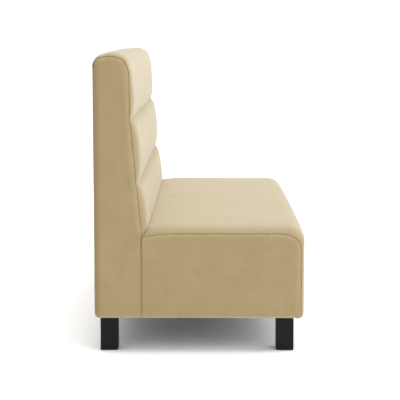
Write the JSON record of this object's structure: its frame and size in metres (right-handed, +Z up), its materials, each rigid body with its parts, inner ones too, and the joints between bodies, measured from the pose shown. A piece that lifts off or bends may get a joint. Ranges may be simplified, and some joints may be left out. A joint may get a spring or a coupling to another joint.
{
  "type": "restaurant booth seating",
  "caption": "Upholstered bench with a channelled, raked high back, a padded seat box and square block legs with levelling glides.",
  "frame": {"origin": "on the floor, under the middle of the bench's length and depth", "axes": "+Z up, +X along the bench to the sitter's left, -Y is the front that a sitter faces; left and right in names are as seen from in front"},
  "size_m": [1.5, 0.758, 1.08],
  "materials": {
    "upholstery": "soft satin faux leather, tan",
    "foam": "open-cell foam, cream",
    "felt": "needled felt, grey",
    "dust_cloth": "non-woven cloth, black",
    "plywood": "sanded birch plywood",
    "leg_black": "black satin lacquer on hardwood",
    "steel": "zinc-plated steel",
    "spring_steel": "oiled spring steel",
    "glide_plastic": "moulded nylon, black"
  },
  "bodies": {
    "bench": {"seat_end_frame_left": "plywood", "seat_divider_left": "plywood", "back_side_frame_left": "plywood", "back_rib_left": "plywood", "seat_end_cover_left": "upholstery", "back_end_cover_left": "upholstery", "seat_end_frame_right": "plywood", "seat_divider_right": "plywood", "back_side_frame_right": "plywood", "back_rib_right": "plywood", "seat_end_cover_right": "upholstery", "back_end_cover_right": "upholstery", "seat_front_rail": "plywood", "seat_rear_rail": "plywood", "back_bottom_rail": "plywood", "back_lumbar_rail": "plywood", "back_top_rail": "plywood", "back_board": "plywood", "outer_back_panel": "plywood", "seat_foam": "foam", "front_rail_foam": "foam", "back_foam_lower": "foam", "back_foam_middle": "foam", "back_foam_top": "foam", "seat_cover": "upholstery", "back_channel_cover": "upholstery", "outer_back_cover": "upholstery", "spring_insulator": "felt", "dust_cover": "dust_cloth", "seat_springs": "spring_steel", "spring_clips": "steel", "frame_screws": "steel", "joining_bolts": "steel", "joining_washers": "steel", "joining_tee_nuts": "steel", "leg_bolts": "steel", "leg_tee_nuts": "steel", "glide_nuts": "steel", "leg_front_left": "leg_black", "leg_block_front_left": "plywood", "leg_front_right": "leg_black", "leg_block_front_right": "plywood", "leg_rear_left": "leg_black", "leg_block_rear_left": "plywood", "leg_rear_right": "leg_black", "leg_block_rear_right": "plywood"},
    "glide_front_left": {"glide_pad_front_left": "glide_plastic", "glide_stem_front_left": "steel"},
    "glide_front_right": {"glide_pad_front_right": "glide_plastic", "glide_stem_front_right": "steel"},
    "glide_rear_left": {"glide_pad_rear_left": "glide_plastic", "glide_stem_rear_left": "steel"},
    "glide_rear_right": {"glide_pad_rear_right": "glide_plastic", "glide_stem_rear_right": "steel"}
  },
  "joints": [
    {"name": "glide_front_left_height", "type": "slide", "parent": "bench", "child": "glide_front_left", "axis": [0, 0, -1], "range_m": [0, 0.012]},
    {"name": "glide_front_right_height", "type": "slide", "parent": "bench", "child": "glide_front_right", "axis": [0, 0, -1], "range_m": [0, 0.012]},
    {"name": "glide_rear_left_height", "type": "slide", "parent": "bench", "child": "glide_rear_left", "axis": [0, 0, -1], "range_m": [0, 0.012]},
    {"name": "glide_rear_right_height", "type": "slide", "parent": "bench", "child": "glide_rear_right", "axis": [0, 0, -1], "range_m": [0, 0.012]}
  ]
}
